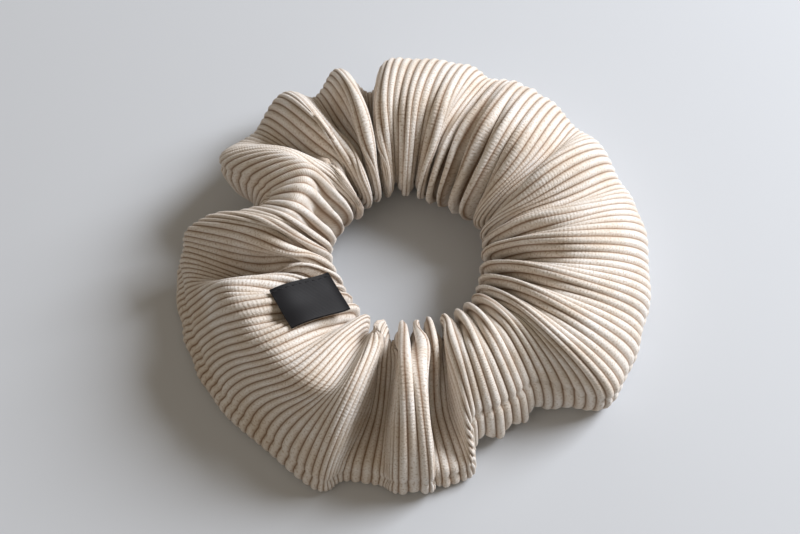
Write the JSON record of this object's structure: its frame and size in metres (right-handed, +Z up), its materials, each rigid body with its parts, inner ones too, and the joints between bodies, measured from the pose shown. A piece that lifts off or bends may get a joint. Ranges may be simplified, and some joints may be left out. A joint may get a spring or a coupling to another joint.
{
  "type": "hair scrunchie",
  "caption": "Soft hair tie: a ribbed jersey tube gathered on a loop of flat elastic, with a small folded woven label at its closing seam.",
  "frame": {"origin": "centre of the ring on the surface that it lies on", "axes": "+Z up out of that surface, along the ring's axis; +X the way the ring is pulled open; the label is on the -X side"},
  "size_m": [0.112, 0.112, 0.0311],
  "materials": {
    "rib_jersey": "soft matte",
    "elastic": "braided, matte",
    "label_ribbon": "woven satin",
    "jersey_thread": "spun thread",
    "label_thread": "spun thread"
  },
  "bodies": {
    "left_half": {"cover_left_half": "rib_jersey", "long_seam_thread_left": "jersey_thread", "closing_seam_thread": "jersey_thread", "elastic_band": "elastic", "elastic_thread": "jersey_thread", "label_root": "label_ribbon", "label_thread": "label_thread"},
    "right_half": {"cover_right_half": "rib_jersey", "long_seam_thread_right": "jersey_thread"},
    "label": {"label_flap": "label_ribbon"}
  },
  "joints": [
    {"name": "ring_stretch", "type": "slide", "parent": "left_half", "child": "right_half", "axis": [1, 0, 0], "range_m": [0, 0.06], "stiffness_N_per_m": 120, "deforming": ["elastic_band"]},
    {"name": "label_lift", "type": "hinge", "parent": "left_half", "child": "label", "pos_m": [-0.02537, -0.01465, 0.02791], "axis": [-0.8088, -0.467, 0.3574], "range_deg": [0, 140], "stiffness_Nm_per_rad": 0.0005}
  ]
}
